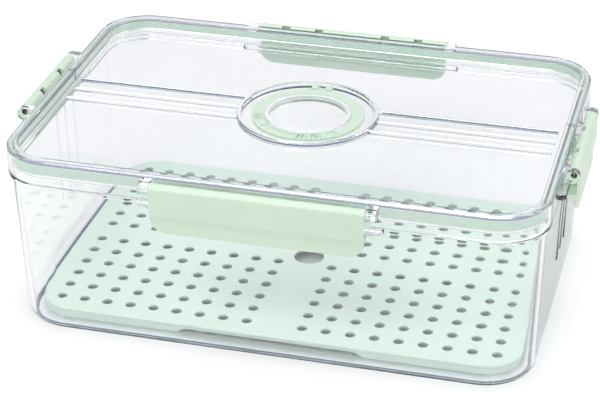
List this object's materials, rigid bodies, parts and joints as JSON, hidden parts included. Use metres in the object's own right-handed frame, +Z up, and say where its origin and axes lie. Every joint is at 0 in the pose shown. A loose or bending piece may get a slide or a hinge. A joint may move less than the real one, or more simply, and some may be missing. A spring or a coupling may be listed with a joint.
{
  "type": "fridge produce keeper",
  "caption": "Clear tapered fridge box with a sealed clear lid, swing-up mint latches on its sides, a lift-out drain tray and a turning date ring.",
  "frame": {"origin": "centre of the box's footprint, on the plane that it stands on", "axes": "+X along the long sides, +Y to the back, +Z up"},
  "size_m": [0.3278, 0.2298, 0.1105],
  "materials": {
    "clear_plastic": "clear, polished",
    "silicone": "translucent mint silicone",
    "tray_plastic": "satin mint",
    "mint_plastic": "satin mint, a little yellower than the tray"
  },
  "bodies": {
    "box": {"container": "clear_plastic", "lid": "clear_plastic", "lid_gasket": "silicone"},
    "front_latch": {"latch_front": "mint_plastic"},
    "back_latch": {"latch_back": "mint_plastic"},
    "left_latch": {"latch_left": "mint_plastic"},
    "right_latch": {"latch_right": "mint_plastic"},
    "date_ring": {"dial_ring": "mint_plastic"},
    "tray": {"drain_tray": "tray_plastic"}
  },
  "joints": [
    {"name": "front_latch_hinge", "type": "hinge", "parent": "box", "child": "front_latch", "pos_m": [0, -0.1113, 0.1055], "axis": [-1, 0, 0], "range_deg": [0, 95]},
    {"name": "back_latch_hinge", "type": "hinge", "parent": "box", "child": "back_latch", "pos_m": [0, 0.1113, 0.1055], "axis": [1, 0, 0], "range_deg": [0, 95]},
    {"name": "left_latch_hinge", "type": "hinge", "parent": "box", "child": "left_latch", "pos_m": [-0.1603, 0, 0.1055], "axis": [0, 1, 0], "range_deg": [0, 95]},
    {"name": "right_latch_hinge", "type": "hinge", "parent": "box", "child": "right_latch", "pos_m": [0.1603, 0, 0.1055], "axis": [0, -1, 0], "range_deg": [0, 95]},
    {"name": "date_ring_turn", "type": "hinge", "parent": "box", "child": "date_ring", "pos_m": [0, 0, 0.1038], "axis": [0, 0, 1], "continuous": true},
    {"name": "tray_lift", "type": "slide", "parent": "box", "child": "tray", "axis": [0, 0, 1], "range_m": [0, 0.08]}
  ]
}
